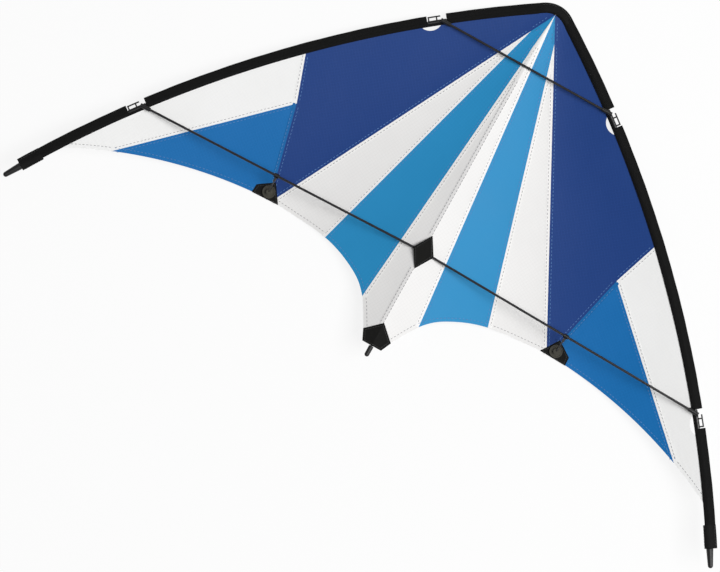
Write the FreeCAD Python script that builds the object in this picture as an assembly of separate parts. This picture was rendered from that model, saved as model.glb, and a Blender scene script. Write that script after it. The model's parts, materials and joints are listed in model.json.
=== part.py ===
"""Dual-line delta sport kite, lying on its back with the spreader side up.

Every piece is drawn in the kite's own frame and then tilted onto the floor. In that frame x runs
towards the right wing tip, y runs up the spine to the nose, z runs out of the front of the sail,
and the origin is where the spreaders cross the spine. All lengths are millimetres.
"""
import FreeCAD, Part
import math
import os
from FreeCAD import Rotation, Vector

# Frame plan
HALF_SPAN = 700.0               # spine to the end of a wing tip cap
NOSE_RISE = 482.0               # cross to where the two leading edge axes would meet
TIP_DROP = 237.0                # cross down to the end of a wing tip cap
LEADING_EDGE_BOW = 58.5         # how far a leading edge rod bows out of straight
TAIL_DROP = 206.0               # cross down to the end of the spine's cap
NOSE_RADIUS = 50.0              # outer corner of the nose
UPPER_SPREADER_Y = 366.0        # height of the upper spreader above the cross
LOWER_SPREADER_DROP = 15.0      # lower spreader's outer end below the cross
SPREADER_STEP = 6.5             # spreader axis in front of the leading edge axis

# Rods
LEADING_ROD_R = 2.75
LEADING_ROD_BORE_R = 1.6
SPINE_ROD_R = 2.5
SPREADER_ROD_R = 2.1
STANDOFF_ROD_R = 1.25
FERRULE_HALF = 40.0             # ferrule length either side of the leading edge joint
FERRULE_GAP = 0.05
ROD_JOINT_GAP = 0.4
PRESS_GAP = 0.05                # radial gap of a rod in a moulded socket
CLOTH_GAP = 0.3                 # radial gap of a rod in a cloth pocket

# Sail
SAIL_THICKNESS = 0.6
SAIL_BELLY = 38.0               # depth of the sail below the frame at a stand-off
BELLY_FADE = 60.0               # distance from the nose over which the belly starts
RIDGE_RISE = 3.5                # sail's front face above the frame along the spine
RIDGE_WIDTH = 25.0
SEAM_AT_EDGE = [(55.5, -114.0), (162.0, -60.0), (274.0, -50.4)]   # three seams at the trailing edge
WHITE_STRIPE_DROP = 57.0        # where the leading edges would meet, down to the white stripe's point
TAIL_EDGE = (27.0, 41.0)        # where the trailing edge leaves the tail, up from the spine's end
TRAILING_CURVE = [(59.0, -114.0), (97.0, -84.0), (162.0, -60.0), (262.0, -50.0)]
OUTER_CURVE_MID = (475.0, -81.0)
PATCH_END = (312.0, -52.0)
SAIL_TIP_S = 898.0              # along the leading edge axis, where the trailing edge ends
SEAM_JUNCTION = (317.5, 119.0)  # where dark, medium and white wing panels meet
SEAM_AT_LEADING = (352.0, 224.0)
WING_SEAM_AT_EDGE = (556.5, -108.0)
WING_SEAM_INNER = (277.6, -50.8)
SEAM_OVERRUN = 1.5              # seams are drawn this many times as long as the panel needs
SEAM_RELIEF = 2.0               # the seams stop this far short of the nose webbing

# Leading edge sleeve, in its own section: across from the rod axis, and out of the frame plane
SLEEVE_WIDTH = 18.0
SLEEVE_OUTER = 12.0             # rod axis to the outer fold
SLEEVE_EDGE_HALF = 0.8          # half thickness at the fold and at the seam
SLEEVE_WALL = 0.7
SLEEVE_CROWN = 0.4              # flat top of the section, as a share of its half thickness

# Nose and tail webbing
NOSE_HALF_THICKNESS = 4.8
NOSE_ROD_DEPTH = 12.0           # how far the leading edge rods reach into the nose
SPINE_NOSE_DEPTH = 8.0
TAIL_PATCH_HALF = [(0.0, 66.0), (27.5, 40.4), (18.5, 21.0)]  # right half, up from the spine's end
TAIL_HEM = 1.5                  # the sail stops this far inside the patch
WEBBING_THICKNESS = 0.8
LAYER_GAP = 0.1                 # between cloth layers that lie on each other
TAIL_CAP_R = 4.4
TAIL_CAP_END_R = 4.2
TAIL_CAP_LENGTH = 20.0
POCKET_TOP = -33.0
POCKET_HALF_WIDTH = 9.0

# Centre
CENTRE_PATCH_HALF_X = 20.0
CENTRE_PATCH_HALF_Y = 32.5
CENTRE_HOLE_MARGIN = 1.0
TEE_HALF_LENGTH = 15.0
TEE_HALF_WIDTH = 16.0
TEE_R = 4.2
TEE_SOCKET_R = 3.8
TEE_SOCKET_FLOOR = 4.5          # spine axis to the inner end of a spreader

# Leading edge connectors
CONNECTOR_R = 3.7
CONNECTOR_BEFORE = 6.0          # length of the tube on the nose side of the spreader
CONNECTOR_AFTER = 26.0          # and on the tip side
CONNECTOR_SOCKET_IN = 15.0
CONNECTOR_SOCKET_OUT = 4.0
LOOP_BAR_R = 1.3
LOOP_BAR_OFFSET = 9.6
LOOP_BAR_START = 3.0
LOOP_ARM_AT = [10.0, 24.0]
NOTCH_CLEARANCE = 1.0
NOTCH_DEPTH_GAP = 0.4
HALF_MOON_START = 4.0
HALF_MOON_LENGTH = 33.0
HALF_MOON_DEPTH = 7.0
HALF_MOON_LID = 5.0             # the window's cut runs this far past the rod

# Wing tips
TIP_CAP_LENGTH = 34.0
TIP_CAP_GAP = 0.15              # between the cap's mouth and the webbing
TIP_CAP_R = 6.2
TIP_CAP_END_R = 4.6
TIP_CAP_FLOOR = 6.0
TIP_WEBBING_LENGTH = 35.0
TIP_WEBBING_OUTER = 12.5
TIP_WEBBING_INNER = 11.0
TIP_WEBBING_HALF = 4.6
TIP_WEBBING_EDGE_HALF = 1.8

# Stand-offs
STANDOFF_AT = (286.0, -38.0)    # middle of the fitting on the trailing edge
STANDOFF_PATCH = [(261.0, -49.5), (283.0, -18.0), (311.0, -37.0), (312.0, -51.5)]
BOSS_R = 11.5
BOSS_THICKNESS = 1.8
BOSS_RIM_WIDTH = 1.8
BOSS_RIM_HEIGHT = 1.2
HUB_R = 4.8
HUB_HEIGHT = 7.2
FOOT_PIN_R = 1.25
FOOT_PIN_HALF = 2.9             # half length of the cross pin in the stand-off's foot
PIVOT_HEIGHT = 4.6              # above the underside of the boss
PIVOT_GAP = 0.3
WASHER_R = 9.0
WASHER_THICKNESS = 1.6
RIVET_R = 1.6
CLIP_R = 3.9
CLIP_LENGTH = 9.0
CLIP_GAP = 0.3
CLIP_STEM_R = 2.4
CLIP_STEM_LENGTH = 11.0
CLIP_FLOOR = 1.2                # plastic between the stand-off rod's end and the spreader

# Drawing
OVERRUN = 1.0                   # how far a cut runs past the piece that it cuts
FAR = 100.0                     # further than any piece reaches in front of or behind the frame
SAIL_GRID = 18.0                # spacing of the points that carry the sail's surface
PATCH_GRID = 4.0
TILT_STEPS = 6                  # rounds in which the resting angle is found

UP = Vector(0, 0, 1)
ORIGIN = Vector(0, 0, 0)


# --- leading edge: an arc in the frame plane --------------------------------------------------
def leading_circle():
    chord = Vector(HALF_SPAN, -TIP_DROP - NOSE_RISE, 0)
    radius = chord.Length ** 2 / (8 * LEADING_EDGE_BOW) + LEADING_EDGE_BOW / 2
    outward = UP.cross(chord).normalize()
    middle = Vector(0, NOSE_RISE, 0) + chord * 0.5
    return middle - outward * (radius - LEADING_EDGE_BOW), radius


LE_CENTRE, LE_RADIUS = leading_circle()
NOSE_ANGLE = math.atan2(NOSE_RISE - LE_CENTRE.y, -LE_CENTRE.x)
TIP_ANGLE = math.atan2(-TIP_DROP - LE_CENTRE.y, HALF_SPAN - LE_CENTRE.x)
LE_LENGTH = (NOSE_ANGLE - TIP_ANGLE) * LE_RADIUS
SLEEVE_INNER = SLEEVE_WIDTH - SLEEVE_OUTER


def le_angle(s):
    return NOSE_ANGLE - s / LE_RADIUS


def le_out(s):
    """Unit vector out of the kite, square to the leading edge, at length s from the nose."""
    return Vector(math.cos(le_angle(s)), math.sin(le_angle(s)), 0)


def le_along(s):
    """Unit vector along the leading edge towards the tip."""
    return Vector(math.sin(le_angle(s)), -math.cos(le_angle(s)), 0)


def le_point(s, out=0.0):
    return LE_CENTRE + le_out(s) * (LE_RADIUS + out)


def le_s_at_y(y, out=0.0):
    """Length along the leading edge at which a line offset by out reaches height y."""
    return (NOSE_ANGLE - math.asin((y - LE_CENTRE.y) / (LE_RADIUS + out))) * LE_RADIUS


def le_y_at_x(x, out=0.0):
    return LE_CENTRE.y + math.sqrt((LE_RADIUS + out) ** 2 - (x - LE_CENTRE.x) ** 2)


# Nose corner: the sleeve's outer fold is rounded by NOSE_RADIUS
NOSE_SLOPE = math.asin(-LE_CENTRE.x / (LE_RADIUS + SLEEVE_OUTER - NOSE_RADIUS))
NOSE_CENTRE = Vector(0, le_y_at_x(0, SLEEVE_OUTER - NOSE_RADIUS), 0)
NOSE_INNER_R = NOSE_RADIUS - SLEEVE_WIDTH
SLEEVE_START = le_s_at_y(NOSE_CENTRE.y + (NOSE_RADIUS - SLEEVE_OUTER) * math.cos(NOSE_SLOPE))
SLEEVE_END = LE_LENGTH - TIP_CAP_LENGTH - TIP_WEBBING_LENGTH
SPINE_END_Y = NOSE_CENTRE.y + NOSE_INNER_R + SPINE_NOSE_DEPTH
TAIL_PATCH_SHAPE = [(x, up - TAIL_DROP) for x, up in TAIL_PATCH_HALF]
TAIL_PATCH_SHAPE += [(-x, y) for x, y in reversed(TAIL_PATCH_SHAPE[1:])]
TAIL_END_Y = TAIL_PATCH_SHAPE[2][1]
UPPER_S = le_s_at_y(UPPER_SPREADER_Y)
LOWER_S = le_s_at_y(-LOWER_SPREADER_DROP)
LOWER_END = le_point(LOWER_S) + UP * SPREADER_STEP
LOWER_LINE = Vector(LOWER_END).normalize()


# --- sail surface -----------------------------------------------------------------------------
SAIL_APEX_Y = le_y_at_x(0, -SLEEVE_INNER)
EDGE_ANGLE = math.pi / 2 - math.asin(-LE_CENTRE.x / (LE_RADIUS - SLEEVE_INNER))


def belly_shape(x, y):
    """Depth of the sail for a belly of 1: nothing on spine and leading edge, growing from the nose."""
    down = SAIL_APEX_Y - y
    reach = math.hypot(x, down)
    if reach < 1e-6:
        return 0.0
    edge = EDGE_ANGLE - math.asin(min(reach / (2 * (LE_RADIUS - SLEEVE_INNER)), 1.0))
    across = math.atan2(x, down) / edge
    return reach ** 2 / (reach + BELLY_FADE) * math.sin(math.pi * across)


BELLY = SAIL_BELLY / belly_shape(*STANDOFF_AT)


def sail_height(x, y):
    """Front face of the sail above the frame plane."""
    ridge = RIDGE_RISE * math.exp(-abs(x) / RIDGE_WIDTH)
    return SAIL_THICKNESS / 2 + ridge - BELLY * belly_shape(abs(x), y)


def sail_normal(x, y):
    step = 1.0
    slope_x = (sail_height(x + step, y) - sail_height(x - step, y)) / (2 * step)
    slope_y = (sail_height(x, y + step) - sail_height(x, y - step)) / (2 * step)
    return Vector(-slope_x, -slope_y, 1).normalize()


def sail_slab(low, high, x_range, y_range, spacing):
    """Solid between two copies of the sail's front face, shifted by low and high."""
    columns = max(int((x_range[1] - x_range[0]) / spacing), 3)
    rows = max(int((y_range[1] - y_range[0]) / spacing), 3)
    grid = []
    for i in range(columns + 1):
        x = x_range[0] + (x_range[1] - x_range[0]) * i / columns
        line = []
        for j in range(rows + 1):
            y = y_range[0] + (y_range[1] - y_range[0]) * j / rows
            line.append(Vector(x, y, sail_height(x, y) + low))
        grid.append(line)
    surface = Part.BSplineSurface()
    surface.interpolate(grid)
    return surface.toShape().extrude(UP * (high - low))


def half_sail(low, high):
    """Slab over the whole right half, between copies of the front face shifted by low and high."""
    return sail_slab(low, high, (0, HALF_SPAN), (-TIP_DROP, NOSE_RISE), SAIL_GRID)


# --- drawing helpers --------------------------------------------------------------------------
def flat(points):
    return [Vector(p[0], p[1], 0) for p in points]


def prism(points, low, high):
    """Upright solid over a polygon given by plan points."""
    corners = [Vector(p.x, p.y, low) for p in points]
    face = Part.Face(Part.makePolygon(corners + corners[:1]))
    return face.extrude(UP * (high - low))


def rod(start, end, radius):
    return Part.makeCylinder(radius, (end - start).Length, start, end - start)


def along_leading_edge(section, s_start, s_end):
    """Sweeps a section, drawn as (out, up) points, along the leading edge from s_start to s_end."""
    corners = [le_point(s_start, out) + UP * up for out, up in section]
    face = Part.Face(Part.makePolygon(corners + corners[:1]))
    turn = math.degrees((s_end - s_start) / LE_RADIUS)
    return face.revolve(LE_CENTRE, UP * -1, turn)


def round_along(radius, s_start, s_end, out=0.0, up=0.0):
    """Round bar along the leading edge."""
    circle = Part.makeCircle(radius, le_point(s_start, out) + UP * up, le_along(s_start))
    face = Part.Face(Part.Wire([circle]))
    turn = math.degrees((s_end - s_start) / LE_RADIUS)
    return face.revolve(LE_CENTRE, UP * -1, turn)


def mirrored(shape):
    return shape.mirror(ORIGIN, Vector(1, 0, 0))


# --- rods -------------------------------------------------------------------------------------
def spine_rod():
    foot = Vector(0, -TAIL_DROP + TIP_CAP_FLOOR, 0)
    return rod(foot, Vector(0, SPINE_END_Y, 0), SPINE_ROD_R)


def leading_edge_rod(s_start, s_end):
    outer = round_along(LEADING_ROD_R, s_start, s_end)
    return outer.cut(round_along(LEADING_ROD_BORE_R, s_start, s_end))


LE_JOINT_S = (UPPER_S + LOWER_S) / 2
ROD_START_S = SLEEVE_START - NOSE_ROD_DEPTH
ROD_END_S = LE_LENGTH - TIP_CAP_FLOOR


def leading_edge_ferrule():
    radius = LEADING_ROD_BORE_R - FERRULE_GAP
    return round_along(radius, LE_JOINT_S - FERRULE_HALF, LE_JOINT_S + FERRULE_HALF)


def lower_spreader():
    return rod(LOWER_LINE * (TEE_SOCKET_FLOOR / LOWER_LINE.x), LOWER_END, SPREADER_ROD_R)


def upper_spreader():
    end = le_point(UPPER_S) + UP * SPREADER_STEP
    return rod(Vector(-end.x, end.y, end.z), end, SPREADER_ROD_R)


# --- leading edge sleeve, connectors and tip --------------------------------------------------
def sleeve_section():
    rise = LEADING_ROD_R + CLOTH_GAP + SLEEVE_WALL
    crown = rise * SLEEVE_CROWN
    upper = [(-SLEEVE_INNER, SLEEVE_EDGE_HALF), (-crown, rise), (crown, rise)]
    upper.append((SLEEVE_OUTER, SLEEVE_EDGE_HALF))
    return upper + [(out, -up) for out, up in reversed(upper)]


def notch(s):
    """Space that the sleeve leaves open on its outer side round the connector at s."""
    low = -CONNECTOR_R - NOTCH_DEPTH_GAP
    high = SLEEVE_OUTER + NOTCH_CLEARANCE
    half = LEADING_ROD_R + SLEEVE_OUTER
    section = [(low, -half), (high, -half), (high, half), (low, half)]
    start = s - CONNECTOR_BEFORE - NOTCH_CLEARANCE
    return along_leading_edge(section, start, s + CONNECTOR_AFTER + NOTCH_CLEARANCE)


def leading_edge_sleeve():
    body = along_leading_edge(sleeve_section(), SLEEVE_START, SLEEVE_END)
    channel = round_along(LEADING_ROD_R + CLOTH_GAP, SLEEVE_START - OVERRUN, SLEEVE_END + OVERRUN)
    return body.cut([channel, notch(UPPER_S), notch(LOWER_S)])


def connector(s, toward):
    """Moulded joint of a spreader on the leading edge rod, with the bridle loop on its outer side."""
    tube = round_along(CONNECTOR_R, s - CONNECTOR_BEFORE, s + CONNECTOR_AFTER)
    middle = le_point(s) + UP * SPREADER_STEP
    socket = rod(middle - toward * CONNECTOR_SOCKET_IN, middle + toward * CONNECTOR_SOCKET_OUT, CONNECTOR_R)
    bar_end = LOOP_ARM_AT[-1] + LOOP_BAR_R
    bar = round_along(LOOP_BAR_R, s + LOOP_BAR_START, s + bar_end, LOOP_BAR_OFFSET)
    arms = [rod(le_point(s + at), le_point(s + at, LOOP_BAR_OFFSET), LOOP_BAR_R) for at in LOOP_ARM_AT]
    solid = tube.fuse([socket, bar] + arms).removeSplitter()
    start = s - CONNECTOR_BEFORE - OVERRUN
    passage = round_along(LEADING_ROD_R + PRESS_GAP, start, s + CONNECTOR_AFTER + OVERRUN)
    bore = rod(middle - toward * (CONNECTOR_SOCKET_IN + OVERRUN), middle, SPREADER_ROD_R + PRESS_GAP)
    return solid.cut([passage, bore])


def tip_webbing():
    half = TIP_WEBBING_HALF
    section = [(-TIP_WEBBING_INNER, -TIP_WEBBING_EDGE_HALF), (-SLEEVE_INNER / 2, -half)]
    section += [(SLEEVE_INNER / 2, -half), (TIP_WEBBING_OUTER, -TIP_WEBBING_EDGE_HALF)]
    section += [(out, -up) for out, up in reversed(section)]
    body = along_leading_edge(section, SLEEVE_END, LE_LENGTH - TIP_CAP_LENGTH)
    return body.cut(round_along(LEADING_ROD_R + CLOTH_GAP, SLEEVE_END - OVERRUN, LE_LENGTH))


def domed_cap(mouth, end, mouth_r, end_r):
    """Tapered cap from its mouth to the top of its domed end."""
    along = (end - mouth).normalize()
    dome = end - along * end_r
    cone = Part.makeCone(mouth_r, end_r, (dome - mouth).Length, mouth, along)
    return cone.fuse(Part.makeSphere(end_r, dome)).removeSplitter()


def tip_cap():
    mouth_s = LE_LENGTH - TIP_CAP_LENGTH + TIP_CAP_GAP
    solid = domed_cap(le_point(mouth_s), le_point(LE_LENGTH), TIP_CAP_R, TIP_CAP_END_R)
    return solid.cut(round_along(LEADING_ROD_R + PRESS_GAP, mouth_s - OVERRUN, ROD_END_S + PRESS_GAP))


# --- nose, centre and tail --------------------------------------------------------------------
def nose_sector(outer, inner, low, high):
    """Part of a ring about the nose centre, between the ends of the two sleeves."""
    spread = math.degrees(NOSE_SLOPE)
    ring = Part.makeCylinder(outer, high - low, NOSE_CENTRE + UP * low, UP, 2 * spread)
    ring = ring.cut(Part.makeCylinder(inner, high - low, NOSE_CENTRE + UP * low))
    ring.rotate(NOSE_CENTRE, UP, 90 - spread)
    return ring


def nose_webbing():
    body = nose_sector(NOSE_RADIUS, NOSE_INNER_R, -NOSE_HALF_THICKNESS, NOSE_HALF_THICKNESS)
    rod_end = ROD_START_S - PRESS_GAP
    right = round_along(LEADING_ROD_R + CLOTH_GAP, rod_end, SLEEVE_START + OVERRUN)
    spine = rod(ORIGIN, Vector(0, SPINE_END_Y + PRESS_GAP, 0), SPINE_ROD_R + CLOTH_GAP)
    return body.cut([right, mirrored(right), spine])


def rhombus(half_x, half_y):
    return flat([(half_x, 0), (0, half_y), (-half_x, 0), (0, -half_y)])


PATCH_BASE = TEE_R + CLOTH_GAP


def centre_patch():
    corners = rhombus(CENTRE_PATCH_HALF_X, CENTRE_PATCH_HALF_Y)
    return prism(corners, PATCH_BASE, PATCH_BASE + WEBBING_THICKNESS)


def centre_tee():
    """Moulded cross joint: clamps the spine and takes one lower spreader each side."""
    end = Vector(0, TEE_HALF_LENGTH, 0)
    past = Vector(0, TEE_HALF_LENGTH + OVERRUN, 0)
    tube = rod(end * -1, end, TEE_R)
    sockets = []
    bores = [rod(past * -1, past, SPINE_ROD_R + PRESS_GAP)]
    for side in (1, -1):
        line = Vector(side * LOWER_LINE.x, LOWER_LINE.y, LOWER_LINE.z)
        floor = line * ((TEE_SOCKET_FLOOR - PRESS_GAP) / LOWER_LINE.x)
        sockets.append(rod(ORIGIN, line * TEE_HALF_WIDTH, TEE_SOCKET_R))
        bores.append(rod(floor, line * (TEE_HALF_WIDTH + OVERRUN), SPREADER_ROD_R + PRESS_GAP))
    return tube.fuse(sockets).removeSplitter().cut(bores)


def patch_slab(shape):
    """Webbing patch over plan points, lying on the front of the sail."""
    xs = [x for x, y in shape]
    ys = [y for x, y in shape]
    x_range = (min(xs) - OVERRUN, max(xs) + OVERRUN)
    y_range = (min(ys) - OVERRUN, max(ys) + OVERRUN)
    slab = sail_slab(LAYER_GAP, LAYER_GAP + WEBBING_THICKNESS, x_range, y_range, PATCH_GRID)
    return slab.common(prism(flat(shape), -FAR, FAR))


def tail_patch():
    return patch_slab(TAIL_PATCH_SHAPE)


def spine_pocket():
    """Cloth channel stitched behind the sail, which holds the spine's lower end."""
    wall = SPINE_ROD_R + CLOTH_GAP + WEBBING_THICKNESS
    bottom = sail_height(POCKET_HALF_WIDTH, TAIL_END_Y) - SAIL_THICKNESS - WEBBING_THICKNESS
    top = RIDGE_RISE + SAIL_THICKNESS
    outline = [(-POCKET_HALF_WIDTH, top), (-POCKET_HALF_WIDTH, bottom), (-wall / 2, -wall)]
    outline += [(-x, z) for x, z in reversed(outline)]
    points = [Vector(x, POCKET_TOP, z) for x, z in outline]
    face = Part.Face(Part.makePolygon(points + points[:1]))
    body = face.extrude(Vector(0, TAIL_END_Y - POCKET_TOP, 0))
    above = half_sail(-SAIL_THICKNESS - LAYER_GAP, FAR)
    channel = rod(Vector(0, -TAIL_DROP, 0), ORIGIN, SPINE_ROD_R + CLOTH_GAP)
    return body.cut([above, mirrored(above), channel])


def spine_cap():
    end = Vector(0, -TAIL_DROP, 0)
    mouth = end + Vector(0, TAIL_CAP_LENGTH, 0)
    floor = end + Vector(0, TIP_CAP_FLOOR - PRESS_GAP, 0)
    solid = domed_cap(mouth, end, TAIL_CAP_R, TAIL_CAP_END_R)
    return solid.cut(rod(floor, mouth + Vector(0, OVERRUN, 0), SPINE_ROD_R + PRESS_GAP))


# --- sail panels ------------------------------------------------------------------------------
def trailing_edge():
    """The right wing's trailing edge, from the tail to the leading edge sleeve."""
    first = Part.BSplineCurve()
    first.interpolate(flat([(TAIL_EDGE[0], TAIL_EDGE[1] - TAIL_DROP)] + TRAILING_CURVE))
    start, middle = flat([PATCH_END, OUTER_CURVE_MID])
    end = le_point(SAIL_TIP_S, -SLEEVE_INNER)
    tail = flat([(0, TAIL_END_Y + TAIL_HEM), (TAIL_PATCH_SHAPE[2][0] - TAIL_HEM, TAIL_END_Y + TAIL_HEM)])
    return [
        Part.LineSegment(tail[0], tail[1]).toShape(),
        Part.LineSegment(tail[1], first.StartPoint).toShape(),
        first.toShape(),
        Part.LineSegment(first.EndPoint, start).toShape(),
        Part.Arc(start, middle, end).toShape(),
    ]


def wing_outline():
    """Closed plan outline of the right half of the sail."""
    nose_low = NOSE_CENTRE + Vector(0, NOSE_INNER_R, 0)
    sleeve_low = le_point(SLEEVE_START, -SLEEVE_INNER)
    turn = NOSE_SLOPE / 2
    nose_mid = NOSE_CENTRE + Vector(math.sin(turn), math.cos(turn), 0) * NOSE_INNER_R
    middle = le_point((SLEEVE_START + SAIL_TIP_S) / 2, -SLEEVE_INNER)
    edges = trailing_edge()
    edges.append(Part.Arc(le_point(SAIL_TIP_S, -SLEEVE_INNER), middle, sleeve_low).toShape())
    edges.append(Part.Arc(sleeve_low, nose_mid, nose_low).toShape())
    edges.append(Part.LineSegment(nose_low, Vector(0, TAIL_END_Y + TAIL_HEM, 0)).toShape())
    return Part.Face(Part.Wire(edges))


def half_moon(s):
    """Window in the sail beside a connector."""
    start = le_point(s + HALF_MOON_START, -SLEEVE_INNER)
    end = le_point(s + HALF_MOON_START + HALF_MOON_LENGTH, -SLEEVE_INNER)
    middle = le_point(s + HALF_MOON_START + HALF_MOON_LENGTH / 2, -SLEEVE_INNER - HALF_MOON_DEPTH)
    lid = le_point(s + HALF_MOON_START + HALF_MOON_LENGTH / 2, HALF_MOON_LID)
    edges = [Part.Arc(start, middle, end).toShape(), Part.Arc(end, lid, start).toShape()]
    return Part.Face(Part.Wire(edges)).extrude(UP * 2 * FAR).translated(UP * -FAR)


def panel_shapes():
    """Plan polygons of the six panels of the right wing, from the spine outwards."""
    nose = Vector(0, NOSE_CENTRE.y + NOSE_INNER_R, 0)
    junction, leading = flat([SEAM_JUNCTION, SEAM_AT_LEADING])
    edge, inner = flat([WING_SEAM_AT_EDGE, WING_SEAM_INNER])
    first, second, third = flat(SEAM_AT_EDGE)
    stripe_y = NOSE_RISE - WHITE_STRIPE_DROP
    stripe_top = nose + (third - nose) * ((nose.y - stripe_y) / (nose.y - third.y))
    first = nose + (first - nose) * SEAM_OVERRUN
    second = stripe_top + (second - stripe_top) * SEAM_OVERRUN
    third = nose + (third - nose) * SEAM_OVERRUN
    leading = junction + (leading - junction) * SEAM_OVERRUN
    edge = junction + (edge - junction) * SEAM_OVERRUN
    inner = junction + (inner - junction) * SEAM_OVERRUN
    far = HALF_SPAN + FAR
    return {
        "centre_panel": [nose, Vector(0, first.y, 0), first],
        "light_stripe": [nose, first, second, stripe_top],
        "white_stripe": [stripe_top, second, third],
        "wing_panel": [nose, third, inner, junction, leading, Vector(leading.x, far, 0), Vector(0, far, 0)],
        "edge_panel": [junction, inner, edge],
        "tip_panel": [junction, edge, Vector(far, edge.y, 0), Vector(far, leading.y, 0), leading],
    }


def sail_panels():
    outline = wing_outline().extrude(UP * 2 * FAR).translated(UP * -FAR)
    hole_x = CENTRE_PATCH_HALF_X - CENTRE_HOLE_MARGIN
    hole = prism(rhombus(hole_x, CENTRE_PATCH_HALF_Y - CENTRE_HOLE_MARGIN), -FAR, FAR)
    sheet = half_sail(-SAIL_THICKNESS, 0)
    relief = Part.makeCylinder(SEAM_RELIEF, 2 * FAR, Vector(0, NOSE_CENTRE.y + NOSE_INNER_R, -FAR))
    sheet = sheet.common(outline).cut([hole, relief, half_moon(UPPER_S), half_moon(LOWER_S)])
    panels = {}
    for name, corners in panel_shapes().items():
        panels[name] = sheet.common(prism(corners, -FAR, FAR))
    return panels


# --- stand-offs -------------------------------------------------------------------------------
FOOT = Vector(STANDOFF_AT[0], STANDOFF_AT[1], sail_height(*STANDOFF_AT))
FOOT_UP = sail_normal(*STANDOFF_AT)
BOSS_BASE = FOOT + FOOT_UP * (2 * LAYER_GAP + WEBBING_THICKNESS + LAYER_GAP)
PIVOT = BOSS_BASE + FOOT_UP * PIVOT_HEIGHT
GRIP = LOWER_LINE * PIVOT.dot(LOWER_LINE)       # point of the spreader square above the pivot
ROD_LINE = (GRIP - PIVOT).normalize()
FOLD_WAY = ROD_LINE.cross(LOWER_LINE).normalize()


def foot_pin(gap=0.0):
    """Cross pin in the stand-off's foot, or the hole that it turns in."""
    half = LOWER_LINE * (FOOT_PIN_HALF + gap)
    return rod(PIVOT - half, PIVOT + half, FOOT_PIN_R + gap)


def standoff_boss():
    """Ring shaped fitting on the trailing edge; its slotted hub holds the foot of the stand-off."""
    solid = Part.makeCylinder(BOSS_R, BOSS_THICKNESS, BOSS_BASE, FOOT_UP)
    rim = Part.makeCylinder(BOSS_R, BOSS_THICKNESS + BOSS_RIM_HEIGHT, BOSS_BASE, FOOT_UP)
    rim = rim.cut(Part.makeCylinder(BOSS_R - BOSS_RIM_WIDTH, 2 * HUB_HEIGHT, BOSS_BASE, FOOT_UP))
    hub = Part.makeCylinder(HUB_R, HUB_HEIGHT, BOSS_BASE, FOOT_UP)
    solid = solid.fuse([rim, hub]).removeSplitter()
    slot_r = STANDOFF_ROD_R + PIVOT_GAP
    ball = Part.makeSphere(slot_r, PIVOT)
    swing = 2 * BOSS_R
    up = ROD_LINE * swing
    away = FOLD_WAY * swing
    corners = [PIVOT, PIVOT + up, PIVOT + up + away, PIVOT + away]
    sweep = Part.Face(Part.makePolygon(corners + corners[:1]))
    sweep = sweep.extrude(LOWER_LINE * (2 * slot_r)).translated(LOWER_LINE * -slot_r)
    channels = [rod(PIVOT, PIVOT + up, slot_r), rod(PIVOT, PIVOT + away, slot_r)]
    return solid.cut([ball, sweep, foot_pin(PIVOT_GAP)] + channels)


def standoff_washer():
    """Back half of the fitting, with the rivet that goes through patch and sail."""
    depth = SAIL_THICKNESS + LAYER_GAP
    top = FOOT - FOOT_UP * depth
    disc = Part.makeCylinder(WASHER_R, WASHER_THICKNESS, top, FOOT_UP * -1)
    rivet = Part.makeCylinder(RIVET_R, (BOSS_BASE - top).Length, top, FOOT_UP)
    return disc.fuse(rivet).removeSplitter()


def standoff_rod():
    """Thin rod with a rounded foot and a cross pin that turns in the fitting's hub."""
    top = GRIP - ROD_LINE * (SPREADER_ROD_R + CLIP_GAP + CLIP_FLOOR)
    ball = Part.makeSphere(STANDOFF_ROD_R, PIVOT)
    return ball.fuse([rod(PIVOT, top, STANDOFF_ROD_R), foot_pin()]).removeSplitter()


def standoff_clip():
    """Open hook round the lower spreader, on a stem that takes the stand-off rod."""
    half = LOWER_LINE * (CLIP_LENGTH / 2)
    hook = rod(GRIP - half, GRIP + half, CLIP_R)
    stem_top = GRIP - ROD_LINE * (CLIP_R - OVERRUN)
    stem = rod(GRIP - ROD_LINE * (CLIP_R + CLIP_STEM_LENGTH), stem_top, CLIP_STEM_R)
    mouth_half = SPREADER_ROD_R + CLIP_GAP
    corners = [GRIP + ROD_LINE * mouth_half, GRIP - ROD_LINE * mouth_half]
    corners += [corners[1] - FOLD_WAY * CLIP_LENGTH, corners[0] - FOLD_WAY * CLIP_LENGTH]
    mouth = Part.Face(Part.makePolygon(corners + corners[:1]))
    mouth = mouth.extrude(half * 4).translated(half * -2)
    eye = rod(GRIP - half * 2, GRIP + half * 2, mouth_half)
    top = GRIP - ROD_LINE * (mouth_half + CLIP_FLOOR - PRESS_GAP)
    bore = rod(PIVOT, top, STANDOFF_ROD_R + PRESS_GAP)
    return hook.fuse(stem).removeSplitter().cut([mouth, eye, bore])


# --- assembly ---------------------------------------------------------------------------------
def with_rivet_hole(shape):
    reach = FOOT_UP * (SAIL_BELLY / 2)
    return shape.cut(rod(FOOT - reach, FOOT + reach, RIVET_R + LAYER_GAP))


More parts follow.
